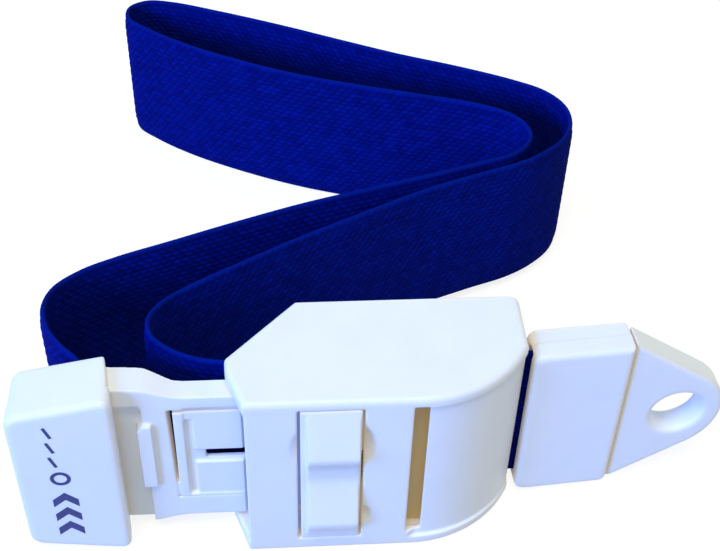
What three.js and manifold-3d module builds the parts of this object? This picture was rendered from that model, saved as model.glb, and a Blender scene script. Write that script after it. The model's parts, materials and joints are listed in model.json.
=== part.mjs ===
// Quick-release tourniquet: an elastic strap joined by a buckle with a plug-in clip.
// Millimetres, +Z up. The buckle stands on its long edge, as it lies on a table.
// Origin: centre of the housing's lower edge face. +X runs along the buckle towards the
// pull tab, -Y is the side with the release button, +Y is the arm side with the strap.

import * as THREE from 'three';
import { mergeVertices } from 'three/addons/utils/BufferGeometryUtils.js';
import Module from 'manifold-3d';

const wasm = await Module();
wasm.setup();

// ---------------------------------------------------------------- driving dimensions
const HOUSING = { left: -20, right: 20, front: -9.3, back: 9.3, height: 31 };
const WALL = 1.6;
const LIP = { height: 1.9, overhang: 0.6, end: 0.15 };  // rim of the cheeks past the nose's wall
const SOFT_EDGE = 0.8;                          // round on the cheeks' and the tab's edges
const CHEEK = 2.7;                              // thickness of the top and bottom cheeks
const NOSE = { startX: 5, radius: 17 };         // curved front right corner
const NOSE_WALL = { startX: 5.4, endY: 0.1 };   // its wall, set back, up to the strap's exit
const MOUTH_X = -17.6;                          // where the front wall starts
const GAP = 0.3;                                // play between neighbouring mouldings

const STRAP = { width: 25, thickness: 1.3, bottom: 3, y: 1.3 };
const STRAP_SINK = { startY: 10, endY: 80 };    // the loop settles onto the table over this run
const JOIN_X = -17.1;                           // where the loop hands over to the tail

const BUTTON = { left: -10.45, right: -2.5, bottom: 2.76, top: 29.24 };
const BUTTON_PIVOT = { x: -1.2, y: -6.0, pin: 0.7, bore: 0.75, knuckle: 1.35 };
const ARM = { front: -5.9, back: -4.65, end: 5.1 };
const SLOT = { left: 4.1, right: 6.2, bottom: 3.1, top: 29.4 };

const CAM_AXLE = { x: 11.4, y: -2.6, pin: 0.9, bore: 0.96 };
const CAM = { radius: 2.75, bottom: 3.1, top: 27.9, toothDepth: 0.5 };

const TONGUE = { front: -5.1, back: -2.0, innerFront: -4.3, bottom: 3.6, top: 28.1, tip: 7.4 };
const SHOULDER = { left: -37.0, right: -30.6, bottom: 2.4, top: 30.1 };
const FINGER = { left: -26.9, right: -12.2, bottom: 7.8, top: 25.1 };
const BLOCK = {
  left: -47.8, right: -34.0, backRight: -35.3, front: -8.4, back: 0.4, parting: -5.3, edge: 0.9,
};
const ANCHOR = { x: -40.6, y: -2.6, pin: 0.8, wrap: 1.8 };

const GRIP = { x: 20.7, y: 1.45, yaw: 4.5, length: 13.9, half: 2.85, bottom: 1.1, top: 29.3 };
const GRIP_EDGE = 0.8;
const TAB = { half: 2.1, holeX: 22.5, holeZ: 14.4, holeR: 3.8, tipX: 21.2, tipR: 8.1 };

// ---------------------------------------------------------------- shape helpers
const toSolid = (geometry) => {
  const bare = geometry.clone();
  bare.deleteAttribute('normal');
  bare.deleteAttribute('uv');
  const merged = mergeVertices(bare, 1e-4);
  const vertProperties = new Float32Array(merged.attributes.position.array);
  const triVerts = new Uint32Array(merged.index.array);
  return new wasm.Manifold(new wasm.Mesh({ numProp: 3, vertProperties, triVerts }));
};

const toGeometry = (solid) => {
  const mesh = solid.getMesh();
  const geometry = new THREE.BufferGeometry();
  geometry.setAttribute('position', new THREE.BufferAttribute(mesh.vertProperties, 3));
  geometry.setIndex(new THREE.BufferAttribute(mesh.triVerts, 1));
  geometry.computeVertexNormals();
  return geometry;
};

const join = (first, ...others) => others.reduce((sum, next) => sum.add(next), first);
const cut = (first, ...tools) => tools.reduce((rest, tool) => rest.subtract(tool), first);

const box = (x0, x1, y0, y1, z0, z1) => {
  const geometry = new THREE.BoxGeometry(x1 - x0, y1 - y0, z1 - z0);
  geometry.translate((x0 + x1) / 2, (y0 + y1) / 2, (z0 + z1) / 2);
  return toSolid(geometry);
};

// A cylinder along axis 'y' or 'z', from one coordinate to the other along it.
const rod = (axis, a, b, radius, from, to, sides = 20) => {
  const geometry = new THREE.CylinderGeometry(radius, radius, to - from, sides);
  if (axis === 'z') {
    geometry.rotateX(Math.PI / 2);
    geometry.translate(a, b, (from + to) / 2);
  } else {
    geometry.translate(a, (from + to) / 2, b);
  }
  return toSolid(geometry);
};

const ball = (x, y, z, radius) => {
  const geometry = new THREE.SphereGeometry(radius, 48, 32);
  geometry.translate(x, y, z);
  return toSolid(geometry);
};

// An outline whose corners are [u, v] or [u, v, radius]; the radius rounds the corner.
const outline = (corners) => {
  const shape = new THREE.Shape();
  const count = corners.length;
  corners.forEach(([u, v, radius = 0], i) => {
    const here = new THREE.Vector2(u, v);
    const before = new THREE.Vector2(...corners[(i + count - 1) % count].slice(0, 2));
    const after = new THREE.Vector2(...corners[(i + 1) % count].slice(0, 2));
    const enter = here.clone().add(before.sub(here).setLength(radius));
    const leave = here.clone().add(after.sub(here).setLength(radius));
    if (i === 0) shape.moveTo(enter.x, enter.y);
    else shape.lineTo(enter.x, enter.y);
    if (radius > 0) shape.quadraticCurveTo(u, v, leave.x, leave.y);
  });
  shape.closePath();
  return shape;
};

// Extrudes a shape along an axis: shapes are drawn as (x, y) for 'z', (x, z) for 'y'
// and (y, z) for 'x'.
const BASES = {
  z: [new THREE.Vector3(1, 0, 0), new THREE.Vector3(0, 1, 0), new THREE.Vector3(0, 0, 1)],
  y: [new THREE.Vector3(1, 0, 0), new THREE.Vector3(0, 0, 1), new THREE.Vector3(0, -1, 0)],
  x: [new THREE.Vector3(0, 1, 0), new THREE.Vector3(0, 0, 1), new THREE.Vector3(1, 0, 0)],
};

const prism = (shape, axis, from, to, curveSegments = 6) => {
  const depth = to - from;
  const geometry = new THREE.ExtrudeGeometry(shape, { depth, bevelEnabled: false, curveSegments });
  geometry.applyMatrix4(new THREE.Matrix4().makeBasis(...BASES[axis]));
  if (axis === 'x') geometry.translate(from, 0, 0);
  if (axis === 'y') geometry.translate(0, to, 0);
  if (axis === 'z') geometry.translate(0, 0, from);
  return toSolid(geometry);
};

// A prism whose outline is full size at mid height and rounded over at both ends.
const softPrism = (shape, axis, from, to, radius, curveSegments = 6) => {
  const geometry = new THREE.ExtrudeGeometry(shape, {
    depth: to - from - 2 * radius, curveSegments, bevelEnabled: true, bevelThickness: radius,
    bevelSize: radius, bevelOffset: -radius, bevelSegments: 4,
  });
  geometry.translate(0, 0, radius);
  geometry.applyMatrix4(new THREE.Matrix4().makeBasis(...BASES[axis]));
  if (axis === 'y') geometry.translate(0, to, 0);
  if (axis === 'z') geometry.translate(0, 0, from);
  return toSolid(geometry);
};

// A flat band on edge: its centre line is a list of [x, y], its lower edge follows lift(y).
const band = (line, thickness, width, lift) => {
  const positions = [];
  const index = [];
  line.forEach((point, i) => {
    const ahead = line[Math.min(i + 1, line.length - 1)];
    const behind = line[Math.max(i - 1, 0)];
    const side = new THREE.Vector2(behind.y - ahead.y, ahead.x - behind.x).setLength(thickness / 2);
    const low = lift(point.y);
    positions.push(point.x + side.x, point.y + side.y, low);
    positions.push(point.x - side.x, point.y - side.y, low);
    positions.push(point.x - side.x, point.y - side.y, low + width);
    positions.push(point.x + side.x, point.y + side.y, low + width);
    if (i === 0) return;
    const near = 4 * (i - 1);
    const far = 4 * i;
    for (let k = 0; k < 4; k += 1) {
      const next = (k + 1) % 4;
      index.push(near + k, far + k, far + next, near + k, far + next, near + next);
    }
  });
  const last = 4 * (line.length - 1);
  index.push(0, 1, 2, 0, 2, 3);
  index.push(last, last + 2, last + 1, last, last + 3, last + 2);
  const geometry = new THREE.BufferGeometry();
  geometry.setAttribute('position', new THREE.Float32BufferAttribute(positions, 3));
  geometry.setIndex(index);
  geometry.computeVertexNormals();
  return geometry;
};

const smooth = (points, count) => {
  const flat = points.map(([x, y]) => new THREE.Vector3(x, y, 0));
  return new THREE.CatmullRomCurve3(flat, false, 'centripetal').getPoints(count);
};

// A torsion spring wound round a vertical pin, with a straight leg at each end.
const torsionSpring = (x, y, radius, wire, from, to, turns, legs) => {
  const points = [new THREE.Vector3(x + legs[0][0], y + legs[0][1], from)];
  const steps = turns * 10;
  for (let i = 0; i <= steps; i += 1) {
    const angle = (i / 10) * 2 * Math.PI;
    const height = from + ((to - from) * i) / steps;
    points.push(new THREE.Vector3(x + radius * Math.cos(angle), y + radius * Math.sin(angle), height));
  }
  points.push(new THREE.Vector3(x + legs[1][0], y + legs[1][1], to));
  const path = new THREE.CatmullRomCurve3(points, false, 'centripetal');
  const section = new THREE.Shape();
  section.absarc(0, 0, wire, 0, 2 * Math.PI);
  return new THREE.ExtrudeGeometry(section, {
    steps: steps + 6, extrudePath: path, bevelEnabled: false, curveSegments: 3,
  });
};

// ---------------------------------------------------------------- materials
const plastic = (color, roughness) => new THREE.MeshStandardMaterial({ color, roughness, metalness: 0 });
const whitePlastic = () => plastic(0xe9eefa, 0.38);
const tanPlastic = () => plastic(0xa88a5c, 0.5);
const steel = () => new THREE.MeshStandardMaterial({ color: 0xb9bcc0, roughness: 0.3, metalness: 1 });
const blueElastic = () => new THREE.MeshStandardMaterial({ color: 0x0018a8, roughness: 0.9, metalness: 0 });

const group = new THREE.Group();
const addTo = (parent, name, geometry, material) => {
  const mesh = new THREE.Mesh(geometry, material);
  mesh.name = name;
  parent.add(mesh);
};
const add = (name, geometry, material) => addTo(group, name, geometry, material);

// ---------------------------------------------------------------- buckle housing
const innerFront = HOUSING.front + WALL;
const cheekTop = HOUSING.height - CHEEK;

// Plan of the housing: slanted mouth at the left, curved nose at the front right.
const housingPlan = (overhang, noseX, right) => {
  const shape = new THREE.Shape();
  const centreY = HOUSING.front + NOSE.radius;
  const radius = NOSE.radius - overhang;
  const start = -Math.PI / 2;
  const end = -Math.acos((right - noseX) / radius);
  shape.moveTo(-17.7, HOUSING.front + overhang);
  shape.lineTo(noseX, HOUSING.front + overhang);
  shape.absarc(noseX, centreY, radius, start, end);
  shape.lineTo(right, HOUSING.back - 1.6);
  shape.quadraticCurveTo(right, HOUSING.back, right - 1.6, HOUSING.back);
  shape.lineTo(-10.6, HOUSING.back);
  shape.lineTo(HOUSING.left, -0.9);
  shape.lineTo(HOUSING.left + 0.1, -3);
  shape.lineTo(-19.1, -5.2);
  shape.closePath();
  return shape;
};

const housingShell = () => {
  const rim = housingPlan(0, NOSE.startX, HOUSING.right);
  const setBack = housingPlan(LIP.overhang, NOSE_WALL.startX, HOUSING.right - LIP.end);
  const rounded = softPrism(rim, 'z', 0, HOUSING.height, SOFT_EDGE, 12);
  const cheeks = [
    rounded.intersect(box(-30, 30, -20, 20, -1, LIP.height)),
    rounded.intersect(box(-30, 30, -20, 20, HOUSING.height - LIP.height, 40)),
    prism(setBack, 'z', LIP.height - 0.1, CHEEK, 12),
    prism(setBack, 'z', cheekTop, HOUSING.height - LIP.height + 0.1, 12),
  ];
  const noseY = HOUSING.front + NOSE.radius;
  const outer = new THREE.Shape();
  const radius = NOSE.radius - LIP.overhang;
  const innerRadius = radius - WALL;
  const exitAngle = (r) => -Math.asin((noseY - NOSE_WALL.endY) / r);
  outer.moveTo(MOUTH_X, innerFront);
  outer.lineTo(MOUTH_X, HOUSING.front);
  outer.lineTo(SLOT.left + 0.3, HOUSING.front);
  outer.lineTo(NOSE_WALL.startX, HOUSING.front + LIP.overhang);
  outer.absarc(NOSE_WALL.startX, noseY, radius, -Math.PI / 2, exitAngle(radius));
  outer.absarc(NOSE_WALL.startX, noseY, innerRadius, exitAngle(innerRadius), -Math.PI / 2, true);
  outer.lineTo(SLOT.left - 1.5, innerFront);
  outer.closePath();
  const frontWall = prism(outer, 'z', LIP.height - 0.1, HOUSING.height - LIP.height + 0.1, 12);

  const buttonWindow = box(BUTTON.left - 0.42, BUTTON.right + 0.35, -12, -6.5, 2.6, 29.4);
  const slot = box(SLOT.left, SLOT.right, -12, -6.6, SLOT.bottom, SLOT.top);
  const tailRoom = box(SLOT.left, 7.8, -8.0, -6.4, CAM.bottom - 0.4, CAM.top + 0.4);
  const upperDent = ball(-6.1, -16.4, 22.3, 9.15);
  const lowerDent = ball(-3.4, -11.9, 7.6, 3.7);
  const pinSocket = rod('z', BUTTON_PIVOT.x, BUTTON_PIVOT.y, BUTTON_PIVOT.pin + 0.1, 1.1, 29.9);
  const axleSocket = rod('z', CAM_AXLE.x, CAM_AXLE.y, CAM_AXLE.pin + 0.1, 1.1, 29.9);
  const body = join(frontWall, ...cheeks);
  return cut(body, buttonWindow, slot, tailRoom, upperDent, lowerDent, pinSocket, axleSocket);
};
add('housing_shell', toGeometry(housingShell()), whitePlastic());

// Back cover between the cheeks: flat back, slanted strap entry, ribbed anvil for the cam.
const backCover = () => {
  const inner = HOUSING.back - WALL;
  const shape = outline([
    [-17.0, 2.4], [-15.5, 2.4], [-10.1, inner], [7.5, inner], [7.5, 2.3], [15.6, 2.3],
    [15.6, inner], [HOUSING.right - WALL, inner], [HOUSING.right - WALL, 2.5],
    [HOUSING.right - LIP.overhang, 2.5], [HOUSING.right - LIP.overhang, HOUSING.back, 1.5],
    [-10.7, HOUSING.back],
  ]);
  return prism(shape, 'z', CHEEK + 0.15, cheekTop - 0.15, 6);
};
add('housing_back_cover', toGeometry(backCover()), whitePlastic());

// ---------------------------------------------------------------- release button
// The face carries two thumb steps. Behind it a full-height knuckle turns on the button
// pin, and an arm past the pin carries the latch nose and lifts the cam.
const releaseButton = () => {
  const face = prism(outline([
    [-7.7, BUTTON.bottom], [-7.7, BUTTON.top], [-9.3, BUTTON.top], [-9.3, BUTTON.bottom],
  ]), 'x', BUTTON.left, BUTTON.right);
  const steps = prism(outline([
    [-9.0, 3.1], [-9.0, 29.0], [-9.3, 29.0], [-11.2, 21.6, 0.4], [-11.0, 20.7, 0.4],
    [-9.7, 18.4, 0.8], [-9.4, 15.8, 0.8], [-11.2, 7.9, 0.4], [-11.0, 7.0, 0.4], [-9.7, 4.8, 0.6],
    [-9.3, 3.2],
  ]), 'x', BUTTON.left + 0.9, BUTTON.right - 0.2);
  const { x, y, knuckle, bore } = BUTTON_PIVOT;
  const low = CHEEK + 0.4;
  const high = cheekTop - 0.4;
  const neck = box(-5.2, x, -7.3, -5.5, low, high);
  const web = box(-5.2, BUTTON.right, -7.9, -6.5, low, high);
  const barrel = rod('z', x, y, knuckle, low, high);
  const arm = box(x, ARM.end, ARM.front, ARM.back, low, high);
  const springGap = box(-2.9, 0.5, -7.6, -4, 12, 19);
  const hole = rod('z', x, y, bore, 0, 31);
  return cut(join(face, steps, web, neck, barrel, arm), springGap, hole);
};
add('release_button', toGeometry(releaseButton()), whitePlastic());

const pinAlongZ = (place, radius, sides) => toGeometry(rod('z', place.x, place.y, radius, 1.3, 29.7, sides));
add('button_pin', pinAlongZ(BUTTON_PIVOT, BUTTON_PIVOT.pin, 20), steel());
add('button_spring', torsionSpring(
  BUTTON_PIVOT.x, BUTTON_PIVOT.y, 1.05, 0.16, 12.8, 18.2, 6, [[1.6, 1.1], [1.6, -1.3]],
), steel());

// ---------------------------------------------------------------- strap clamp
// Toothed cam that bites the strap against the anvil; its tail lies on the button's arm
// and shows in the slot of the front wall.
const clampCam = () => {
  const { x, y } = CAM_AXLE;
  const shape = new THREE.Shape();
  const teeth = 5;
  const first = THREE.MathUtils.degToRad(35);
  const pitch = THREE.MathUtils.degToRad(22);
  shape.moveTo(x + CAM.radius, y - 0.6);
  for (let i = 0; i < teeth; i += 1) {
    const root = first + i * pitch;
    const tip = root + pitch * 0.75;
    const tipRadius = CAM.radius + CAM.toothDepth * (i === 2 ? 0.35 : 0.2);
    shape.lineTo(x + (CAM.radius - 0.4) * Math.cos(root), y + (CAM.radius - 0.4) * Math.sin(root));
    shape.lineTo(x + tipRadius * Math.cos(tip), y + tipRadius * Math.sin(tip));
  }
  shape.lineTo(x - 2.4, y - 1.1);
  shape.lineTo(6.6, -4.8);
  shape.lineTo(5.5, -4.8);
  shape.lineTo(5.5, -6.2);
  shape.lineTo(4.3, -6.2);
  shape.lineTo(4.3, -6.9);
  shape.lineTo(6.6, -6.9);
  shape.lineTo(7.0, -6.4);
  shape.lineTo(8.0, -5.9);
  shape.lineTo(x + 1.0, y - 2.0);
  shape.closePath();
  const body = prism(shape, 'z', CAM.bottom, CAM.top);
  const springRoom = rod('z', x, y, 1.8, 13, 18);
  const hole = rod('z', x, y, CAM_AXLE.bore, 0, 31);
  return cut(body, hole, springRoom);
};
add('clamp_cam', toGeometry(clampCam()), tanPlastic());
add('cam_axle', pinAlongZ(CAM_AXLE, CAM_AXLE.pin, 20), steel());
add('cam_spring', torsionSpring(
  CAM_AXLE.x, CAM_AXLE.y, 1.35, 0.18, 13.6, 17.4, 5, [[1.3, -0.5], [1.3, 0.5]],
), steel());

// ---------------------------------------------------------------- plug-in clip
// Tongue: a shoulder that tapers from the block to two rails, a spring finger between
// them that is rooted at the nose, a thumb pad, and a catch window for the latch.
const clipTongue = () => {
  const plan = prism(outline([
    [SHOULDER.left, -0.9], [SHOULDER.left, TONGUE.front], [-18.0, TONGUE.front],
    [-17.8, TONGUE.innerFront], [TONGUE.tip - 1.2, TONGUE.innerFront], [TONGUE.tip, -3.6],
    [TONGUE.tip, -2.7], [TONGUE.tip - 1.2, TONGUE.back], [-26.8, TONGUE.back], [-30.4, -0.9],
  ]), 'z', 0, HOUSING.height);
  const face = prism(outline([
    [SHOULDER.left, SHOULDER.bottom], [SHOULDER.right, SHOULDER.bottom, 1.5],
    [-26.8, TONGUE.bottom, 1.5], [TONGUE.tip, TONGUE.bottom], [TONGUE.tip, TONGUE.top],
    [-26.4, TONGUE.top, 1.5], [SHOULDER.right, SHOULDER.top - 0.4, 1.5],
    [SHOULDER.left, SHOULDER.top],
  ]), 'y', -9, 3);
  const channel = prism(outline([
    [-9, -1], [-4.1, -1], [-4.1, 24.6, 1], [TONGUE.front, 26.8], [-9, 26.8],
  ]), 'x', SHOULDER.left - 1, -30.9);
  const pad = prism(outline([
    [-31.6, 11.0], [-29.7, 11.0, 0.4], [-29.7, 23.4, 0.4], [-30.9, 23.4], [-31.6, 22.4],
  ]), 'y', -5.9, -3.9);

  const { left, right, bottom, top } = FINGER;
  const fingerGap = prism(outline([
    [left - 0.3, bottom - 0.25], [right, bottom - 0.25], [right, bottom], [left, bottom],
    [left, top], [right, top + 0.15], [right, top + 0.4], [left - 0.75, top + 0.6],
  ]), 'y', -8, 1);
  const panelFront = TONGUE.front + 0.2;
  const grooveFloor = TONGUE.front + 0.65;
  const panelLeft = left + 2.5;
  const panels = box(left + 1.3, right + 1.5, -8, panelFront, bottom + 0.3, top + 1);
  const sideGroove = box(left + 1.3, panelLeft, -8, grooveFloor, bottom + 0.3, 23.6);
  const slotGroove = prism(outline([
    [left + 1.3, 14.8], [panelLeft, 14.8, 0.9], [right + 1.5, 14.8], [right + 1.5, 17.4],
    [left + 1.3, 17.4],
  ]), 'y', -8, grooveFloor);
  const fingerSlot = box(left + 3.9, right - 2, -8, 1, 15.3, 17.0);
  const thinning = box(left + 3.3, right - 1, -3.7, 0, 13.2, 19.2);
  const catchWindow = box(1.6, 5.4, -8, 1, 10, 21);
  const body = join(cut(plan.intersect(face), channel), pad);
  return cut(body, fingerGap, panels, sideGroove, slotGroove, fingerSlot, thinning, catchWindow);
};
add('clip_tongue', toGeometry(clipTongue()), whitePlastic());

const blockBody = (inset, edge) => {
  const face = outline([
    [BLOCK.left + inset, 2.4 + inset, 2.0], [BLOCK.right - inset, 0.3 + inset, 2.0],
    [BLOCK.right - inset, 31.5 - inset, 2.0], [BLOCK.left + inset, 28.6 - inset, 2.0],
  ]);
  const plan = outline([
    [BLOCK.left, BLOCK.front], [BLOCK.right - inset, BLOCK.front],
    [BLOCK.backRight - inset, BLOCK.back], [BLOCK.left, BLOCK.back],
  ]);
  const rounded = softPrism(face, 'y', BLOCK.front, BLOCK.back, edge);
  return rounded.intersect(prism(plan, 'z', -1, 40));
};

const pinPlaces = [[-45.4, 7.4], [-45.4, 23.8]];
const pinHoles = () => pinPlaces.map(([x, z]) => rod('y', x, z, 0.95, -7.2, -0.9));

const blockFront = () => {
  const body = blockBody(0, BLOCK.edge).intersect(box(-60, 0, -20, BLOCK.parting - 0.06, -1, 40));
  const pocket = box(-44.0, -36.4, -6.9, -5, 3, 28);
  return cut(body, pocket, ...pinHoles());
};
add('block_front_shell', toGeometry(blockFront()), whitePlastic());

const blockBack = () => {
  const body = blockBody(0.08, BLOCK.edge).intersect(box(-60, 0, BLOCK.parting + 0.06, 20, -1, 40));
  const pocket = box(-44.0, -37.8, -6, -1.0, 2.6, 28.4);
  const strapSlot = box(-39.9, -37.6, -2, 2, 2.6, 28.4);
  const tongueSocket = box(
    SHOULDER.left - 0.15, -33.0, -6, -0.75, SHOULDER.bottom - 0.12, SHOULDER.top + 0.15,
  );
  const anchorSocket = rod('z', ANCHOR.x, ANCHOR.y, ANCHOR.pin + 0.1, 1.6, 29.3);
  return cut(body, pocket, strapSlot, tongueSocket, anchorSocket, ...pinHoles());
};
add('block_back_shell', toGeometry(blockBack()), whitePlastic());
add('anchor_pin', toGeometry(rod('z', ANCHOR.x, ANCHOR.y, ANCHOR.pin, 1.8, 29.1)), steel());
pinPlaces.forEach(([x, z], i) => {
  add(`block_pin_${i + 1}`, toGeometry(rod('y', x, z, 0.8, -7.0, -1.1, 12)), whitePlastic());
});

// ---------------------------------------------------------------- elastic strap
// Loop: from the anchor pin, once round the closed flat loop folded in a Z, and into the
// housing. The near end runs level with the buckle, the far end rests on the table.
const lift = (y) => {
  const t = THREE.MathUtils.smoothstep(y, STRAP_SINK.startY, STRAP_SINK.endY);
  return STRAP.bottom * (1 - t);
};

const loopRoute = () => {
  const wrap = [];
  for (let degrees = 180; degrees <= 360; degrees += 45) {
    const angle = THREE.MathUtils.degToRad(degrees);
    wrap.push([ANCHOR.x + ANCHOR.wrap * Math.cos(angle), ANCHOR.y + ANCHOR.wrap * Math.sin(angle)]);
  }
  return [
    [-42.4, -1.8], ...wrap, [-38.8, -1], [-38.8, 0.8], [-39.6, 2.8], [-41.8, 5.2],
    [-44.0, 8.6], [-45.0, 12.6], [-44.0, 16.4], [-40.6, 19.8], [-35.8, 22.5],
    [-28, 25.9], [-18, 30.3], [-8, 34.4], [2, 37.8], [12, 41.2], [21, 44.5],
    [25.2, 46.2], [28.0, 48.6], [29.4, 51.8], [28.9, 55.4], [26.4, 58.7], [21, 61.7],
    [12, 64.7], [2, 67.9], [-8, 71.5], [-18, 76.2], [-28, 81.9], [-35, 87.2],
    [-38.6, 91.0], [-38.7, 94.6], [-35.6, 96.7], [-31, 96.1], [-22, 92.6], [-11, 87.7],
    [0, 82.3], [10, 77.5], [20, 73.2], [29, 68.6], [34, 65], [36.6, 60.4], [36.7, 55.6],
    [34.9, 51.0], [31, 46.9], [26.4, 43.9], [19.4, 41.0], [9.5, 36.6], [0, 31.3],
    [-9, 26.2], [-18, 20.6], [-24.4, 16.5], [-28.6, 13.2], [-30.5, 10], [-30.1, 6.8],
    [-27.6, 4.1], [-24, 2.2], [-20.4, 1.4], [JOIN_X, STRAP.y],
  ];
};
add('strap_loop', band(smooth(loopRoute(), 150), STRAP.thickness, STRAP.width, lift), blueElastic());

// Tail: straight through the clamp and out of the nose, then into the grip.
const tailRoute = () => {
  const slope = Math.tan(THREE.MathUtils.degToRad(GRIP.yaw));
  const atGrip = (x) => [x, GRIP.y + (x - GRIP.x) * slope];
  const start = JOIN_X + GAP;
  return [
    [start, STRAP.y], [-6, STRAP.y], [6, STRAP.y], [17, STRAP.y], [20, STRAP.y + 0.02],
    atGrip(22.6), atGrip(27), atGrip(32.2),
  ];
};
const level = () => STRAP.bottom;
add('strap_tail', band(smooth(tailRoute(), 28), STRAP.thickness, STRAP.width, level), blueElastic());

// ---------------------------------------------------------------- grip and pull tab
// Drawn straight in their own frame, then turned to follow the end of the strap.
const grip = new THREE.Group();
grip.position.set(GRIP.x, GRIP.y, 0);
grip.rotation.z = THREE.MathUtils.degToRad(GRIP.yaw);
group.add(grip);

const gripPins = [[12.8, 9.5], [12.8, 21.5]];
const gripBores = (radius) => gripPins.map(([x, z]) => rod('y', x, z, radius, -2.2, 2.2, 12));

const gripShell = (side) => {
  const whole = softPrism(outline([
    [0, GRIP.bottom, 1.8], [GRIP.length, GRIP.bottom, 1.4], [GRIP.length, GRIP.top], [0, GRIP.top, 1.8],
  ]), 'y', -GRIP.half, GRIP.half, GRIP_EDGE);
  const half = side < 0 ? box(-1, 15, -5, -0.06, 0, 31) : box(-1, 15, 0.06, 5, 0, 31);
  const strapPocket = box(-1, 11.85, -0.98, 0.98, STRAP.bottom - 0.2, STRAP.bottom + STRAP.width + 0.2);
  const tenonPocket = box(11.4, 15, -1.3, 1.3, 5.8, 25.2);
  return cut(whole.intersect(half), strapPocket, tenonPocket, ...gripBores(0.85));
};
addTo(grip, 'grip_front_shell', toGeometry(gripShell(-1)), whitePlastic());
addTo(grip, 'grip_back_shell', toGeometry(gripShell(1)), whitePlastic());
gripPins.forEach(([x, z], i) => {
  addTo(grip, `grip_pin_${i + 1}`, toGeometry(rod('y', x, z, 0.7, -2.05, 2.05, 12)), whitePlastic());
});

// Tab: a rounded triangle with a round hole, and a tenon held between the grip shells.
const pullTab = () => {
  const shape = new THREE.Shape();
  const rootX = GRIP.length + 0.3;
  const topRoot = GRIP.top;
  const bottomRoot = GRIP.bottom - 0.1;
  const angle = (z) => {
    const reach = Math.hypot(TAB.tipX - rootX, z - TAB.holeZ);
    return Math.PI - Math.atan2(Math.abs(z - TAB.holeZ), TAB.tipX - rootX) - Math.acos(TAB.tipR / reach);
  };
  shape.moveTo(rootX, topRoot);
  shape.lineTo(rootX, bottomRoot);
  shape.absarc(TAB.tipX, TAB.holeZ, TAB.tipR, -angle(bottomRoot), angle(topRoot));
  shape.closePath();
  const hole = new THREE.Path();
  hole.absarc(TAB.holeX, TAB.holeZ, TAB.holeR, 0, 2 * Math.PI, true);
  shape.holes.push(hole);
  const plate = softPrism(shape, 'y', -TAB.half, TAB.half, SOFT_EDGE, 16);
  const tenon = box(12.2, rootX + 1.5, -1.15, 1.15, 6.1, 24.9);
  return cut(join(plate, tenon), ...gripBores(0.85));
};
addTo(grip, 'pull_tab', toGeometry(pullTab()), whitePlastic());

export default group;
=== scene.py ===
"""Quick-release tourniquet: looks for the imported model. Metres, in the CAD frame.

The buckle stands on its long edge: +X towards the pull tab, -Y is the button side, +Z up.
White mouldings are reshaped from their CAD solids with soft edges; the strap is a woven
band built along its route.
"""

import json
import math

import bmesh
import bpy
import numpy as np
from mathutils import Matrix, Vector


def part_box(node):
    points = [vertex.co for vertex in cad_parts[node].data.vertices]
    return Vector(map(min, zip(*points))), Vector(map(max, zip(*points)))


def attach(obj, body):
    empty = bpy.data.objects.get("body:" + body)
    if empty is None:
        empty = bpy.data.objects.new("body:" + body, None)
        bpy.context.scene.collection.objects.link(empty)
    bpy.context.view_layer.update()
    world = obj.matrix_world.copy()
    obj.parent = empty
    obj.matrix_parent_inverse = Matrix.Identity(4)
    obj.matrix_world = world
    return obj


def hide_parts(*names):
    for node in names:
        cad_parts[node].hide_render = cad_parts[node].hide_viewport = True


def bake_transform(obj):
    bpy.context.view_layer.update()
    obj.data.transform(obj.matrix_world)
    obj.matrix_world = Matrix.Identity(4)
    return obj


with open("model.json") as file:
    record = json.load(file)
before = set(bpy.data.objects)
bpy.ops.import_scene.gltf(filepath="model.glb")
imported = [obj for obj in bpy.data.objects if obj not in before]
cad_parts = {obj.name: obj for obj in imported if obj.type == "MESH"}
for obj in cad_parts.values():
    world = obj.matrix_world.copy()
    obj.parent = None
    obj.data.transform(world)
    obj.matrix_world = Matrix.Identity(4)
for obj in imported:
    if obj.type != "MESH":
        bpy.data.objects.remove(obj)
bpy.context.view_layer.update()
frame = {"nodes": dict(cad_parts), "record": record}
NODES = frame["nodes"]
BODY_OF = {node: body for body, members in frame["record"]["behaviour"]["bodies"].items()
           for node in members}
MM = 0.001


# ---------------------------------------------------------------- camera and stage
def make_camera():
    """A camera 115 mm in front of the housing and 152 mm up, looking down at 43 degrees."""
    place = Vector((-12.94, -114.73, 151.79)) * MM
    pitch = math.radians(43.11)
    roll = math.radians(1.92)
    yaw = math.radians(5.13)
    focal_mm = 63.975
    level = Vector((math.cos(yaw), -math.sin(yaw), 0))
    ahead = Vector((math.sin(yaw), math.cos(yaw), 0))
    forward = ahead * math.cos(pitch) - Vector((0, 0, math.sin(pitch)))
    above = ahead * math.sin(pitch) + Vector((0, 0, math.cos(pitch)))
    right = level * math.cos(roll) + above * math.sin(roll)
    up = above * math.cos(roll) - level * math.sin(roll)
    data = bpy.data.cameras.new("camera")
    data.sensor_width = 36
    data.lens = focal_mm
    data.clip_start = 0.005
    camera = bpy.data.objects.new("camera", data)
    rotation = Matrix((right, up, -forward)).transposed().to_4x4()
    camera.matrix_world = Matrix.Translation(place) @ rotation
    bpy.context.scene.collection.objects.link(camera)
    bpy.context.scene.camera = camera


LIGHT_DISTANCE = 0.6            # from the lamps to the point that they all face
LIGHT_TARGET = Vector((0, 0.02, 0.01))


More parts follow.
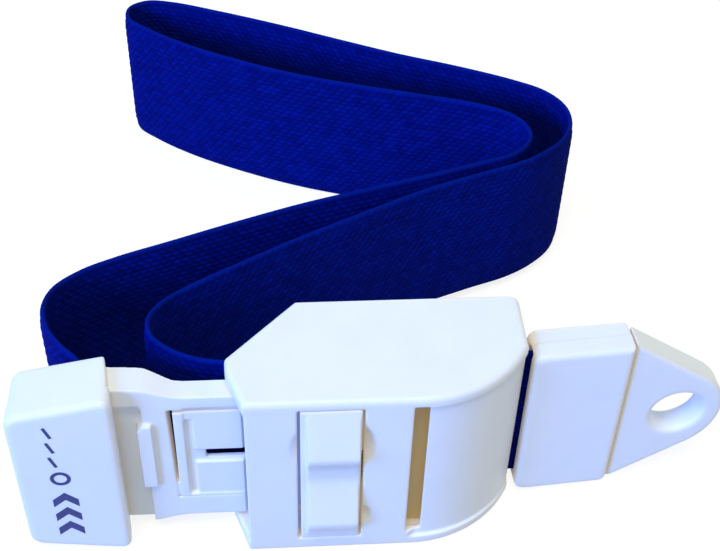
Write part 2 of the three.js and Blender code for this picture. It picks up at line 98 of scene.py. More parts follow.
def area_light(name, direction, size, level, color):
    """A round lamp, size across; level is the radiance that it gives a white surface facing it."""
    data = bpy.data.lights.new(name, "AREA")
    data.shape = "DISK"
    data.size = size
    data.energy = level * (math.pi * LIGHT_DISTANCE) ** 2
    data.color = color
    light = bpy.data.objects.new(name, data)
    toward = Vector(direction).normalized()
    light.location = LIGHT_TARGET + toward * LIGHT_DISTANCE
    light.rotation_euler = (-toward).to_track_quat("-Z", "Y").to_euler()
    bpy.context.scene.collection.objects.link(light)


def make_stage():
    """White paper, a pale blue sky and four round lamps."""
    half = 3.0
    gap = 0.05 * MM
    mesh = bpy.data.meshes.new("floor")
    mesh.from_pydata([(-half, -half, 0), (half, -half, 0), (half, half, 0), (-half, half, 0)],
                     [], [(0, 1, 2, 3)])
    floor = bpy.data.objects.new("floor", mesh)
    bpy.context.scene.collection.objects.link(floor)
    floor.location.z = -gap
    floor.visible_diffuse = False
    material = bpy.data.materials.new("floor_paper")
    material.use_nodes = True
    shader = material.node_tree.nodes["Principled BSDF"]
    shader.inputs["Base Color"].default_value = (0.3, 0.29, 0.28, 1)
    shader.inputs["Roughness"].default_value = 0.9
    shader.inputs["Specular IOR Level"].default_value = 0.1
    shader.inputs["Emission Color"].default_value = (1.0, 1.0, 1.0, 1)
    shader.inputs["Emission Strength"].default_value = 0.8
    mesh.materials.append(material)

    world = bpy.data.worlds.new("studio")
    world.use_nodes = True
    background = world.node_tree.nodes["Background"]
    background.inputs["Color"].default_value = (0.76, 0.9, 1.0, 1)
    background.inputs["Strength"].default_value = 0.37
    scene = bpy.context.scene
    scene.world = world
    scene.view_settings.view_transform = "Standard"

    area_light("top", (-0.1, -0.35, 0.93), size=0.3, level=0.52, color=(0.96, 0.9, 0.68))
    area_light("key", (-0.75, -0.55, 0.4), size=0.3, level=1.35, color=(0.17, 0.33, 1.0))
    area_light("warm", (0.85, -0.34, 0.41), size=0.35, level=0.16, color=(1.0, 0.78, 0.5))
    area_light("back", (0.15, 0.95, 0.3), size=0.4, level=0.3, color=(0.9, 0.95, 1.0))


# ---------------------------------------------------------------- the elastic and its braid
STRAP_WIDTH = 25 * MM
STRAP_THICKNESS = 1.3 * MM
STRAP_BOTTOM = 3 * MM
RELIEF = 0.16 * MM              # depth of the braid's relief
SIDE_STEP = 0.5                 # half a pebble between the two faces
EDGE_THINNING = 0.42            # the band is this much thinner at its edges
EDGE_RUN = 1.5 * MM             # and gets thinner over about this far
ROW_PITCH = 0.86 * MM           # from one row of pebbles to the next, across the band
PEBBLE = 1.36 * MM              # length of one pebble along the band
LEAN = 0.35                     # how far a pebble leans over within its row
DRIFT_ALONG = 7.3 * MM          # the rows drift in slow waves: one radian of a wave
DRIFT_ACROSS = 3.1 * MM
DRIFT_SHARE_ALONG = 0.16        # and how far each wave moves them, in pebbles
DRIFT_SHARE_ACROSS = 0.12
SWELL_ACROSS = 0.55             # exponents below 1 give the pebbles blunt tops
SWELL_ALONG = 0.6


# ---------------------------------------------------------------- materials
def new_material(name):
    material = bpy.data.materials.new(name)
    material.use_nodes = True
    return material, material.node_tree.nodes, material.node_tree.links


def node_of(nodes, kind, **inputs):
    """A new node with the inputs of these names set."""
    node = nodes.new(kind)
    for key, value in inputs.items():
        node.inputs[key.replace("_", " ")].default_value = value
    return node


def mix_color(nodes, links, factor, first, second, blend="MIX"):
    """A colour mix node; factor, first and second are sockets or values."""
    node = nodes.new("ShaderNodeMix")
    node.data_type = "RGBA"
    node.blend_type = blend
    color_sockets = (node.inputs[0], node.inputs[6], node.inputs[7])
    for socket, value in zip(color_sockets, (factor, first, second)):
        if isinstance(value, bpy.types.NodeSocket):
            links.new(value, socket)
        else:
            socket.default_value = value
    return node.outputs[2]


def ramp(nodes, links, source, stops):
    """A colour ramp on the source socket; stops are (position, colour) pairs."""
    node = nodes.new("ShaderNodeValToRGB")
    elements = node.color_ramp.elements
    while len(elements) < len(stops):
        elements.new(0.5)
    for element, (position, color) in zip(elements, stops):
        element.position = position
        element.color = color
    links.new(source, node.inputs["Fac"])
    return node.outputs["Color"]


def moulded_plastic(name, base, recess_shade, roughness, glow):
    """Injection-moulded plastic: fine spark texture, faint flow marks, painted warm shade in the
    recesses by ambient occlusion, and a painted glow there standing in for light through thin walls."""
    material, nodes, links = new_material(name)
    shader = nodes["Principled BSDF"]
    place = nodes.new("ShaderNodeTexCoord").outputs["Object"]

    clouds = node_of(nodes, "ShaderNodeTexNoise", Scale=140.0, Detail=3.0, Roughness=0.55)
    links.new(place, clouds.inputs["Vector"])
    tone = ramp(nodes, links, clouds.outputs["Fac"], [
        (0.3, [c * 0.965 for c in base[:3]] + [1]), (0.7, list(base))])

    hollow = nodes.new("ShaderNodeAmbientOcclusion")
    hollow.samples = 8
    hollow.inputs["Distance"].default_value = 2.6 * MM
    # Painted shade: ambient occlusion mixes the base colour towards the warm recess colour; the same
    # mask, times the glow strength, is a painted glow in the emission.
    shade = ramp(nodes, links, hollow.outputs["AO"], [
        (0.04, (0.6, 0.6, 0.6, 1)), (0.3, (1, 1, 1, 1)), (0.78, (0, 0, 0, 1))])
    tone_with_painted_shade = mix_color(nodes, links, shade, tone, recess_shade)
    inner = mix_color(nodes, links, shade, (0, 0, 0, 1), recess_shade)
    links.new(inner, shader.inputs["Emission Color"])
    shader.inputs["Emission Strength"].default_value = glow

    specks = node_of(nodes, "ShaderNodeTexNoise", Scale=2600.0, Detail=2.0, Roughness=0.6)
    links.new(place, specks.inputs["Vector"])
    scuffs = node_of(nodes, "ShaderNodeTexNoise", Scale=420.0, Detail=4.0, Roughness=0.7)
    stretched = nodes.new("ShaderNodeMapping")
    stretched.inputs["Scale"].default_value = (1.0, 1.0, 0.25)
    links.new(place, stretched.inputs["Vector"])
    links.new(stretched.outputs["Vector"], scuffs.inputs["Vector"])
    gloss = nodes.new("ShaderNodeMapRange")
    gloss.inputs["From Min"].default_value = 0.3
    gloss.inputs["From Max"].default_value = 0.75
    gloss.inputs["To Min"].default_value = roughness - 0.06
    gloss.inputs["To Max"].default_value = roughness + 0.1
    links.new(scuffs.outputs["Fac"], gloss.inputs["Value"])
    links.new(gloss.outputs["Result"], shader.inputs["Roughness"])

    bump = nodes.new("ShaderNodeBump")
    bump.inputs["Strength"].default_value = 0.16
    bump.inputs["Distance"].default_value = 0.05 * MM
    links.new(specks.outputs["Fac"], bump.inputs["Height"])
    links.new(bump.outputs["Normal"], shader.inputs["Normal"])
    links.new(tone_with_painted_shade, shader.inputs["Base Color"])
    shader.inputs["Subsurface Weight"].default_value = 0.12
    shader.inputs["Subsurface Radius"].default_value = (1.0, 0.8, 0.6)
    shader.inputs["Subsurface Scale"].default_value = 0.8 * MM
    shader.inputs["Specular IOR Level"].default_value = 0.4
    return material


def drawn_steel():
    """Spring and pin steel with fine lines from drawing."""
    material, nodes, links = new_material("spring_steel")
    shader = nodes["Principled BSDF"]
    place = nodes.new("ShaderNodeTexCoord").outputs["Object"]
    lines = node_of(nodes, "ShaderNodeTexNoise", Scale=900.0, Detail=3.0)
    stretched = nodes.new("ShaderNodeMapping")
    stretched.inputs["Scale"].default_value = (1.0, 1.0, 0.05)
    links.new(place, stretched.inputs["Vector"])
    links.new(stretched.outputs["Vector"], lines.inputs["Vector"])
    color = ramp(nodes, links, lines.outputs["Fac"], [
        (0.3, (0.42, 0.43, 0.45, 1)), (0.7, (0.7, 0.71, 0.73, 1))])
    links.new(color, shader.inputs["Base Color"])
    bump = nodes.new("ShaderNodeBump")
    bump.inputs["Strength"].default_value = 0.2
    bump.inputs["Distance"].default_value = 0.02 * MM
    links.new(lines.outputs["Fac"], bump.inputs["Height"])
    links.new(bump.outputs["Normal"], shader.inputs["Normal"])
    shader.inputs["Metallic"].default_value = 1.0
    shader.inputs["Roughness"].default_value = 0.32
    return material


def printed_ink():
    """Pad-printed ink with slight unevenness."""
    material, nodes, links = new_material("print_ink")
    shader = nodes["Principled BSDF"]
    place = nodes.new("ShaderNodeTexCoord").outputs["Object"]
    patches = node_of(nodes, "ShaderNodeTexNoise", Scale=1500.0, Detail=3.0)
    links.new(place, patches.inputs["Vector"])
    color = ramp(nodes, links, patches.outputs["Fac"], [
        (0.35, (0.001, 0.012, 0.13, 1)), (0.75, (0.003, 0.028, 0.22, 1))])
    links.new(color, shader.inputs["Base Color"])
    shader.inputs["Roughness"].default_value = 0.45
    return material


def calc(nodes, links, operation, *values):
    """A math node on sockets or numbers."""
    node = nodes.new("ShaderNodeMath")
    node.operation = operation
    for socket, value in zip(node.inputs, values):
        if isinstance(value, bpy.types.NodeSocket):
            links.new(value, socket)
        else:
            socket.default_value = value
    return node.outputs["Value"]


def braid_nodes(nodes, links, weave):
    """The pebbles that braid_height makes, as shader nodes for sharper detail. Returns their
    height and a chance value for each pebble."""
    split = nodes.new("ShaderNodeSeparateXYZ")
    links.new(weave, split.inputs["Vector"])
    s, v, side = split.outputs

    def do(operation, *values):
        return calc(nodes, links, operation, *values)

    drift = do("MULTIPLY_ADD", do("SINE", do("DIVIDE", s, DRIFT_ALONG)), DRIFT_SHARE_ALONG,
               do("MULTIPLY", do("SINE", do("DIVIDE", v, DRIFT_ACROSS)), DRIFT_SHARE_ACROSS))
    rows = do("DIVIDE", v, ROW_PITCH)
    row = do("FLOOR", rows)
    lean = do("MULTIPLY", do("SUBTRACT", do("SUBTRACT", rows, row), 0.5), LEAN)
    shift = do("MULTIPLY", do("MODULO", row, 2.0), 0.5)
    along = do("ADD", do("ADD", do("DIVIDE", s, PEBBLE), shift), do("ADD", drift, lean))
    along = do("ADD", along, side)
    across = do("POWER", do("ABSOLUTE", do("SINE", do("MULTIPLY", rows, math.pi))), SWELL_ACROSS)
    lumps = do("POWER", do("ABSOLUTE", do("COSINE", do("MULTIPLY", along, math.pi))), SWELL_ALONG)
    cell = nodes.new("ShaderNodeCombineXYZ")
    links.new(do("ROUND", along), cell.inputs["X"])
    links.new(row, cell.inputs["Y"])
    links.new(side, cell.inputs["Z"])
    chance = nodes.new("ShaderNodeTexWhiteNoise")
    links.new(cell.outputs["Vector"], chance.inputs["Vector"])
    return do("MULTIPLY", across, lumps), chance.outputs["Value"]


def selvedge_highlight_mask(nodes, links, weave):
    """1 on the cords along the band's two edges, 0 on its faces: where the edge cords get a painted
    highlight.
    """
    split = nodes.new("ShaderNodeSeparateXYZ")
    links.new(weave, split.inputs["Vector"])
    height = split.outputs["Y"]
    far_edge = calc(nodes, links, "SUBTRACT", STRAP_WIDTH, height)
    edge = calc(nodes, links, "MINIMUM", height, far_edge)
    fade = nodes.new("ShaderNodeMapRange")
    fade.inputs["From Min"].default_value = 0.5 * MM
    fade.inputs["From Max"].default_value = 0.1 * MM
    links.new(edge, fade.inputs["Value"])
    return fade.outputs["Result"]


def woven_elastic():
    """Royal blue braided elastic, with painted shade in the braid's valleys and a painted highlight on
    the edge cords. On the band's mesh, the attribute weave holds each vertex's (length, height,
    side) and knit holds the height of the braid."""
    material, nodes, links = new_material("blue_elastic")
    shader = nodes["Principled BSDF"]
    weave = nodes.new("ShaderNodeAttribute")
    weave.attribute_name = "weave"
    knit = nodes.new("ShaderNodeAttribute")
    knit.attribute_name = "knit"
    pebbles, chance = braid_nodes(nodes, links, weave.outputs["Vector"])
    relief = calc(nodes, links, "MULTIPLY_ADD", pebbles, 0.6,
                  calc(nodes, links, "MULTIPLY", knit.outputs["Fac"], 0.4))

    # Painted shade: the valleys between pebbles get a darker blue, the pebble tops a lighter one.
    dye_with_painted_light = ramp(nodes, links, relief, [
        (0.0, (0.0002, 0.0042, 0.115, 1)), (0.5, (0.0003, 0.0065, 0.18, 1)),
        (1.0, (0.0005, 0.009, 0.235, 1))])
    lot = ramp(nodes, links, chance, [(0.0, (0.72, 0.74, 0.78, 1)), (1.0, (1.18, 1.16, 1.14, 1))])
    dye_with_painted_light = mix_color(nodes, links, 1.0, dye_with_painted_light, lot, "MULTIPLY")
    # Painted highlight: the edge cords get a flat lighter blue in place of the valley shade.
    dye_with_painted_light = mix_color(nodes, links, selvedge_highlight_mask(nodes, links, weave.outputs["Vector"]), dye_with_painted_light,
                      (0.0005, 0.011, 0.21, 1))
    patches = node_of(nodes, "ShaderNodeTexNoise", Scale=160.0, Detail=3.0, Roughness=0.6)
    links.new(weave.outputs["Vector"], patches.inputs["Vector"])
    uneven = ramp(nodes, links, patches.outputs["Fac"], [
        (0.25, (0.8, 0.82, 0.86, 1)), (0.75, (1, 1, 1, 1))])
    color = mix_color(nodes, links, 1.0, dye_with_painted_light, uneven, "MULTIPLY")

    yarn = nodes.new("ShaderNodeTexWave")
    yarn.wave_type = "BANDS"
    yarn.bands_direction = "DIAGONAL"
    yarn.inputs["Scale"].default_value = 1300.0
    yarn.inputs["Distortion"].default_value = 4.0
    yarn.inputs["Detail"].default_value = 2.0
    links.new(weave.outputs["Vector"], yarn.inputs["Vector"])
    fuzz = node_of(nodes, "ShaderNodeTexNoise", Scale=3500.0, Detail=2.0, Roughness=0.7)
    links.new(weave.outputs["Vector"], fuzz.inputs["Vector"])
    threads = calc(nodes, links, "ADD", yarn.outputs["Fac"], fuzz.outputs["Fac"])
    fine = calc(nodes, links, "MULTIPLY", threads, 0.18)
    bump = nodes.new("ShaderNodeBump")
    bump.inputs["Strength"].default_value = 0.65
    bump.inputs["Distance"].default_value = 0.18 * MM
    links.new(calc(nodes, links, "ADD", pebbles, fine), bump.inputs["Height"])
    links.new(bump.outputs["Normal"], shader.inputs["Normal"])
    links.new(color, shader.inputs["Base Color"])
    shader.inputs["Roughness"].default_value = 0.8
    shader.inputs["Specular IOR Level"].default_value = 0.01
    shader.inputs["Sheen Weight"].default_value = 0.01
    shader.inputs["Sheen Roughness"].default_value = 0.45
    shader.inputs["Sheen Tint"].default_value = (0.02, 0.12, 1.0, 1)
    return material


# The fourth value is the painted warm shade for recesses; the last number is the strength of the
# painted glow there.
WHITE = moulded_plastic("white_plastic", (0.84, 0.88, 0.96, 1), (0.8, 0.69, 0.56, 1), 0.4, 0.12)
# Tan is painted shade: it stands in for the warm shade in the housing's slot, where the clamp cam
# shows; it also gets the painted recess shade and glow.
SLOT_SHADE_TAN = moulded_plastic("tan_plastic", (0.6, 0.44, 0.2, 1), (0.55, 0.39, 0.16, 1), 0.5, 0.2)
STEEL = drawn_steel()
INK = printed_ink()
ELASTIC = woven_elastic()


# ---------------------------------------------------------------- moulded pieces
RIM_DEPTH = 0.1 * MM            # vertices this near the parting plane are on a shell's rim
RUN_ON = 1.2 * MM               # how far a rim is run on before the remesh
SEAM = 0.015 * MM               # half the seam left between two shells
GRIP_X = 20.7                   # the grip's near end in mm, on the strap's centre line
GRIP_Y = 1.45
GRIP_YAW = math.radians(4.5)
# Parting planes, as a point and a normal
BLOCK_PARTING = ((0, -5.3 * MM, 0), (0, 1, 0))
GRIP_PARTING = ((GRIP_X * MM, GRIP_Y * MM, 0), (-math.sin(GRIP_YAW), math.cos(GRIP_YAW), 0))


def link_mesh(name, mesh, material):
    piece = bpy.data.objects.new(name, mesh)
    bpy.context.scene.collection.objects.link(piece)
    mesh.materials.clear()
    mesh.materials.append(material)
    return piece


def apply_modifiers(piece):
    """Replaces the mesh with what its modifiers make of it."""
    depsgraph = bpy.context.evaluated_depsgraph_get()
    made = bpy.data.meshes.new_from_object(piece.evaluated_get(depsgraph))
    made.name = piece.name
    old = piece.data
    piece.modifiers.clear()
    piece.data = made
    bpy.data.meshes.remove(old)


def past_plane(mesh, plane):
    """The mesh's vertices, and how far each is past a parting plane."""
    places = np.empty(len(mesh.vertices) * 3)
    mesh.vertices.foreach_get("co", places)
    places = places.reshape(-1, 3)
    return places, (places - np.array(plane[0])) @ np.array(plane[1])


def run_on(piece, plane):
    """Lengthens the walls that end at the parting plane, so that smoothing can't round
    their rim. Returns which side of the plane the shell is on."""
    places, distance = past_plane(piece.data, plane)
    side = 1 if distance.mean() > 0 else -1
    rim = np.abs(distance) < RIM_DEPTH
    places[rim] -= side * RUN_ON * np.array(plane[1])
    piece.data.vertices.foreach_set("co", places.ravel())
    return side


def cut_back(piece, plane, side):
    """Cuts the shell at the parting plane and closes its walls there."""
    shell = bmesh.new()
    shell.from_mesh(piece.data)
    normal = Vector(plane[1])
    at = Vector(plane[0]) + normal * side * SEAM
    everything = shell.verts[:] + shell.edges[:] + shell.faces[:]
    made = bmesh.ops.bisect_plane(shell, geom=everything, plane_co=at, plane_no=normal * side,
                                  clear_inner=True)
    rim = [item for item in made["geom_cut"] if isinstance(item, bmesh.types.BMEdge)]
    cap = bmesh.ops.triangle_fill(shell, edges=rim, use_beauty=True, use_dissolve=False)
    for face in shell.faces:
        face.smooth = True
    for item in cap["geom"]:
        if isinstance(item, bmesh.types.BMFace):
            item.smooth = False
    for edge in rim:
        if edge.is_valid:
            edge.smooth = False
    bmesh.ops.recalc_face_normals(shell, faces=shell.faces)
    shell.to_mesh(piece.data)
    shell.free()


def soften(piece, voxel, rounds, keep, plane):
    """Rounds every edge as a mould does: fine voxel remesh, smoothing, then thinning."""
    side = run_on(piece, plane) if plane else 0
    remesh = piece.modifiers.new("remesh", "REMESH")
    remesh.mode = "VOXEL"
    remesh.voxel_size = voxel
    smooth = piece.modifiers.new("smooth", "SMOOTH")
    smooth.factor = 0.5
    smooth.iterations = rounds
    thin = piece.modifiers.new("thin", "DECIMATE")
    thin.ratio = keep
    apply_modifiers(piece)
    if plane:
        cut_back(piece, plane, side)
    else:
        piece.data.polygons.foreach_set("use_smooth", [True] * len(piece.data.polygons))
    normals = piece.modifiers.new("normals", "WEIGHTED_NORMAL")
    normals.weight = 80
    normals.keep_sharp = True


def moulded(node, material, voxel, rounds, keep, plane=None):
    """The CAD solid with moulded edges, standing for its node; the voxel is in mm."""
    piece = link_mesh(f"{node}_moulded", NODES[node].data.copy(), material)
    piece.data.name = piece.name
    coarser = 1.0
    soften(piece, voxel * MM * coarser, max(2, int(rounds / coarser ** 2)), keep, plane)
    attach(piece, BODY_OF[node])
    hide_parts(node)


def recolor(nodes, material):
    """Gives CAD nodes that stay as they are a better material."""
    for node in nodes:
        NODES[node].data.materials.clear()
        NODES[node].data.materials.append(material)


# ---------------------------------------------------------------- printed mark
def bar(start, end, width):
    """Corners of a straight stroke between two (x, z) points, in mm."""
    along = Vector(end) - Vector(start)
    side = Vector((-along.y, along.x)).normalized() * width / 2
    return [Vector(start) + side, Vector(start) - side, Vector(end) - side, Vector(end) + side]


def chevron(x, z, reach, rise, width):
    """An upward arrowhead of even stroke, as one outline."""
    return [Vector(p) for p in (
        (x - reach, z), (x, z + rise), (x + reach, z), (x + reach, z + width),
        (x, z + rise + width), (x - reach, z + width))]


def ring(x, z, outer, inner):
    """Quarter arcs of a ring, each an outline."""
    steps = 10
    arcs = []
    for quarter in range(4):
        turns = [2 * math.pi * (quarter + k / steps) / 4 for k in range(steps + 1)]
        rim = [Vector((x + outer * math.cos(a), z + outer * math.sin(a))) for a in turns]
        core = [Vector((x + inner * math.cos(a), z + inner * math.sin(a))) for a in turns[::-1]]
        arcs.append(rim + core)
    return arcs


def block_print():
    """A generic mark in raised ink on the clip block: chevrons, a ring and dashes."""
    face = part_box("block_front_shell")[0].y / MM
    rooted, raised = 0.1, 0.045
    dash_x, dash_lean, dash_rise = -42.1, -0.72, 2.0
    strokes = [chevron(-41.8, z, reach=1.7, rise=1.5, width=1.5) for z in (4.6, 7.7, 10.8)]
    strokes += ring(-41.9, 16.8, outer=1.35, inner=0.85)
    strokes += [bar((dash_x, z), (dash_x + dash_lean, z + dash_rise), width=0.42)
                for z in (19.2, 22.1, 25.0)]
    sheet = bmesh.new()
    for outline in strokes:
        low = [sheet.verts.new((p.x * MM, (face - raised) * MM, p.y * MM)) for p in outline]
        high = [sheet.verts.new((p.x * MM, (face + rooted) * MM, p.y * MM)) for p in outline]
        sheet.faces.new(low)
        sheet.faces.new(high[::-1])
        for k in range(len(outline)):
            after = (k + 1) % len(outline)
            sheet.faces.new((low[k], high[k], high[after], low[after]))
    bmesh.ops.recalc_face_normals(sheet, faces=sheet.faces)
    mesh = bpy.data.meshes.new("block_print")
    sheet.to_mesh(mesh)
    sheet.free()
    piece = link_mesh("block_print", mesh, INK)
    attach(piece, "clip")


# ---------------------------------------------------------------- strap
ROUTE_Y = 1.3                   # the strap's centre line inside the housing, in mm
JOIN_X = -17.1                  # where the loop ends and, past a gap, the tail starts
JOIN_GAP = 0.3
LOOP_SPLIT = (21, 44.5)         # the route's point where the stretch on the clip's side ends
SINK_FROM = 10 * MM             # the strap's lower edge goes down to the table from this Y
SINK_OVER = 70 * MM             # on, over this far


def loop_route():
    """Centre line of the loop in mm, as the CAD has it."""
    pin_x, pin_y, wrap = -40.6, -2.6, 1.8
    around = [(pin_x + wrap * math.cos(math.radians(a)), pin_y + wrap * math.sin(math.radians(a)))
              for a in range(180, 361, 45)]
    return [
        (-42.4, -1.8), *around, (-38.8, -1), (-38.8, 0.8), (-39.6, 2.8), (-41.8, 5.2),
        (-44.0, 8.6), (-45.0, 12.6), (-44.0, 16.4), (-40.6, 19.8), (-35.8, 22.5),
        (-28, 25.9), (-18, 30.3), (-8, 34.4), (2, 37.8), (12, 41.2), (21, 44.5),
        (25.2, 46.2), (28.0, 48.6), (29.4, 51.8), (28.9, 55.4), (26.4, 58.7), (21, 61.7),
        (12, 64.7), (2, 67.9), (-8, 71.5), (-18, 76.2), (-28, 81.9), (-35, 87.2),
        (-38.6, 91.0), (-38.7, 94.6), (-35.6, 96.7), (-31, 96.1), (-22, 92.6), (-11, 87.7),
        (0, 82.3), (10, 77.5), (20, 73.2), (29, 68.6), (34, 65), (36.6, 60.4), (36.7, 55.6),
        (34.9, 51.0), (31, 46.9), (26.4, 43.9), (19.4, 41.0), (9.5, 36.6), (0, 31.3),
        (-9, 26.2), (-18, 20.6), (-24.4, 16.5), (-28.6, 13.2), (-30.5, 10), (-30.1, 6.8),
        (-27.6, 4.1), (-24, 2.2), (-20.4, 1.4), (JOIN_X, ROUTE_Y),
    ]


def tail_route():
    """Centre line of the tail in mm: through the clamp and out into the grip."""
    in_grip = [(x, GRIP_Y + (x - GRIP_X) * math.tan(GRIP_YAW)) for x in (22.6, 27, 32.2)]
    return [(JOIN_X + JOIN_GAP, ROUTE_Y), (-6, ROUTE_Y), (6, ROUTE_Y), (17, ROUTE_Y),
            (20, ROUTE_Y + 0.02), *in_grip]


def between(t, low, high, first, second):
    """The point at t on the line from first, at low, to second, at high."""
    return (high - t) / (high - low) * first + (t - low) / (high - low) * second


def catmull_rom(points, per_span):
    """A centripetal Catmull-Rom curve through the points."""
    points = np.array(points, float)
    ends = [2 * points[0] - points[1], *points, 2 * points[-1] - points[-2]]
    out = []
    for p0, p1, p2, p3 in zip(ends, ends[1:], ends[2:], ends[3:]):
        k0, k1, k2, k3 = np.cumsum([0] + [max(np.linalg.norm(b - a), 1e-6) ** 0.5
                                          for a, b in ((p0, p1), (p1, p2), (p2, p3))])
        for t in np.linspace(k1, k2, per_span, endpoint=False):
            before = between(t, k0, k1, p0, p1)
            middle = between(t, k1, k2, p1, p2)
            after = between(t, k2, k3, p2, p3)
            arriving = between(t, k0, k2, before, middle)
            leaving = between(t, k1, k3, middle, after)
            out.append(between(t, k1, k2, arriving, leaving))
    out.append(points[-1])
    return np.array(out)


def stations(route, step):
    """Evenly spaced points along the route, in metres: places, headings and lengths."""
    fine = catmull_rom(route, per_span=24) * MM
    lengths = np.concatenate([[0], np.cumsum(np.linalg.norm(np.diff(fine, axis=0), axis=1))])
    count = int(round(lengths[-1] / step)) + 1
    at = np.linspace(0, lengths[-1], count)
    points = np.stack([np.interp(at, lengths, fine[:, k]) for k in (0, 1)], 1)
    ahead = np.gradient(points, axis=0)
    ahead /= np.linalg.norm(ahead, axis=1)[:, None]
    return points, ahead, at


def sink(y):
    """The strap's lower edge: level with the buckle in front, on the table behind."""
    t = np.clip((y - SINK_FROM) / SINK_OVER, 0, 1)
    return STRAP_BOTTOM * (1 - t * t * (3 - 2 * t))


CORD_FADE = 0.9 * MM            # the edge cord ends over about this far
CORD_LAY = 0.95 * MM            # from one twist of the cord to the next
CORD_SLANT = 0.2 * MM           # height over which a twist leans by one radian
GROOVE_AT = 1.3 * MM            # a shallow groove beside the cord, from the band's edge
GROOVE_WIDTH = 0.3 * MM


def braid_height(s, v, side):
    """Height of the braid, 0 to 1: offset rows of pebbles, and a corded selvedge."""
    drift = DRIFT_SHARE_ALONG * np.sin(s / DRIFT_ALONG) + DRIFT_SHARE_ACROSS * np.sin(v / DRIFT_ACROSS)
    rows = v / ROW_PITCH
    row = np.floor(rows)
    along = s / PEBBLE + 0.5 * np.mod(row, 2) + drift + LEAN * (rows - row - 0.5) + side * SIDE_STEP
    across = np.abs(np.sin(math.pi * rows)) ** SWELL_ACROSS
    lumps = np.abs(np.cos(math.pi * along)) ** SWELL_ALONG
    edge = np.minimum(v, STRAP_WIDTH - v)
    cord = np.clip(1.35 - edge / CORD_FADE, 0, 1)
    twist = 0.75 + 0.25 * np.cos(2 * math.pi * s / CORD_LAY + v / CORD_SLANT)
    groove = np.exp(-((edge - GROOVE_AT) / GROOVE_WIDTH) ** 2)
    return np.clip(across * lumps * (1 - cord) * (1 - 0.75 * groove) + cord * twist, 0, 1)


def strap_section():
    """The band's cross-section as (height, outward share, side): two faces, round edges."""
    half = STRAP_THICKNESS / 2
    rows_on_face = 76
    faces = np.linspace(half, STRAP_WIDTH - half, rows_on_face)
    turns = [math.radians(a) for a in (67.5, 45, 22.5, 0, -22.5, -45, -67.5)]
    top = [(STRAP_WIDTH - half + half * math.cos(a), math.sin(a), 0.0) for a in turns]
    low = [(half - half * math.cos(a), math.sin(-a), 1.0) for a in turns]
    section = [(v, 1.0, 0.0) for v in faces] + top
    section += [(v, -1.0, 1.0) for v in faces[::-1]] + low
    return np.array(section), rows_on_face, len(turns)


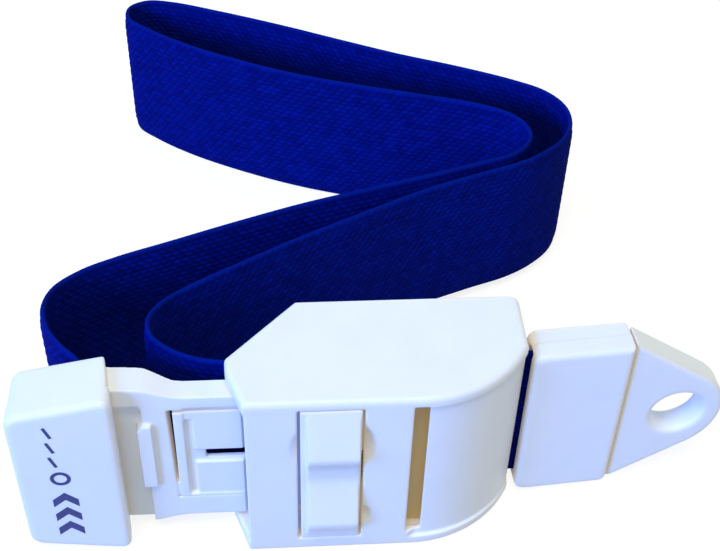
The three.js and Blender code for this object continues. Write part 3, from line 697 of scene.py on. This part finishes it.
def strap_piece(name, points, ahead, at, lift):
    """A woven band along the points, closed at both ends."""
    section, rows_on_face, on_edge = strap_section()
    v, out, side = section[:, 0], section[:, 1], section[:, 2]
    normal = np.stack([-ahead[:, 1], ahead[:, 0]], 1)
    knit = braid_height(at[:, None], v[None, :], side[None, :])
    from_edge = np.minimum(v, STRAP_WIDTH - v)
    thinner = 1 - EDGE_THINNING * np.exp(-(from_edge / EDGE_RUN) ** 2)
    offset = (out * thinner)[None, :] * (STRAP_THICKNESS / 2 - RELIEF + RELIEF * knit)
    x = points[:, 0:1] + normal[:, 0:1] * offset
    y = points[:, 1:2] + normal[:, 1:2] * offset
    z = lift(points[:, 1])[:, None] + v[None, :]
    verts = np.stack([x, y, z], 2).reshape(-1, 3)

    stops, around = len(points), len(section)
    i, k = np.meshgrid(np.arange(stops - 1), np.arange(around), indexing="ij")
    k_next = (k + 1) % around
    here, there = i * around, (i + 1) * around
    quads = np.stack([here + k, here + k_next, there + k_next, there + k], 2)
    faces = quads.reshape(-1, 4).tolist()
    sides = len(faces)
    # Each end: strips between the two faces, and one face for each round edge
    second = rows_on_face + on_edge
    for start in (0, (stops - 1) * around):
        pairs = [(start + a, start + second + rows_on_face - 1 - a) for a in range(rows_on_face)]
        faces += [[a, b, d, c] for (a, c), (b, d) in zip(pairs, pairs[1:])]
        faces.append([start + a for a in range(rows_on_face - 1, second + 1)])
        faces.append([start + a % around for a in range(around - on_edge - 1, around + 1)])
    mesh = bpy.data.meshes.new(name)
    mesh.from_pydata(verts.tolist(), [], faces)
    mesh.update()
    weave = mesh.attributes.new("weave", "FLOAT_VECTOR", "POINT")
    coords = np.stack(np.broadcast_arrays(at[:, None], v[None, :], side[None, :] * SIDE_STEP), 2)
    weave.data.foreach_set("vector", coords.astype(np.float32).ravel())
    height = mesh.attributes.new("knit", "FLOAT", "POINT")
    height.data.foreach_set("value", knit.astype(np.float32).ravel())

    closed = bmesh.new()
    closed.from_mesh(mesh)
    bmesh.ops.recalc_face_normals(closed, faces=closed.faces)
    closed.faces.ensure_lookup_table()
    for face in closed.faces:
        face.smooth = face.index < sides
    for edge in closed.edges:
        edge.smooth = len({face.smooth for face in edge.link_faces}) == 1
    closed.to_mesh(mesh)
    closed.free()
    piece = link_mesh(name, mesh, ELASTIC)
    return piece


def make_strap():
    """The loop's stretch on the clip's side, the rest of it, and the tail in the clamp."""
    step = 0.36 * MM
    points, ahead, at = stations(loop_route(), step)
    near_half = points[: len(points) // 2]
    split = int(np.argmin(np.linalg.norm(near_half - np.array(LOOP_SPLIT) * MM, axis=1)))
    first = slice(0, split + 1)
    rest = slice(split, len(points))
    clip_side = strap_piece("strap_clip_side", points[first], ahead[first], at[first], sink)
    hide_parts("strap_loop")
    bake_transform(clip_side)
    loop = strap_piece("strap_loop_woven", points[rest], ahead[rest], at[rest], sink)
    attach(loop, "housing")
    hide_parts("strap_loop")

    points, ahead, along = stations(tail_route(), step)
    tail = strap_piece("strap_tail_woven", points, ahead, along + at[-1] + JOIN_GAP * MM,
                       lambda y: np.full_like(y, STRAP_BOTTOM))
    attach(tail, "tail")
    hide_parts("strap_tail")


# ---------------------------------------------------------------- build
make_camera()
make_stage()
moulded("housing_shell", WHITE, voxel=0.17, rounds=6, keep=0.25)
moulded("housing_back_cover", WHITE, voxel=0.2, rounds=6, keep=0.2)
moulded("release_button", WHITE, voxel=0.14, rounds=6, keep=0.3)
moulded("clip_tongue", WHITE, voxel=0.14, rounds=6, keep=0.3)
moulded("block_front_shell", WHITE, voxel=0.18, rounds=6, keep=0.3, plane=BLOCK_PARTING)
moulded("block_back_shell", WHITE, voxel=0.18, rounds=6, keep=0.3, plane=BLOCK_PARTING)
moulded("grip_front_shell", WHITE, voxel=0.16, rounds=6, keep=0.3, plane=GRIP_PARTING)
moulded("grip_back_shell", WHITE, voxel=0.16, rounds=6, keep=0.3, plane=GRIP_PARTING)
moulded("pull_tab", WHITE, voxel=0.16, rounds=8, keep=0.3)
moulded("clamp_cam", SLOT_SHADE_TAN, voxel=0.15, rounds=3, keep=0.3)
recolor(("button_pin", "button_spring", "cam_axle", "cam_spring", "anchor_pin"), STEEL)
recolor(("block_pin_1", "block_pin_2", "grip_pin_1", "grip_pin_2"), WHITE)
block_print()
make_strap()
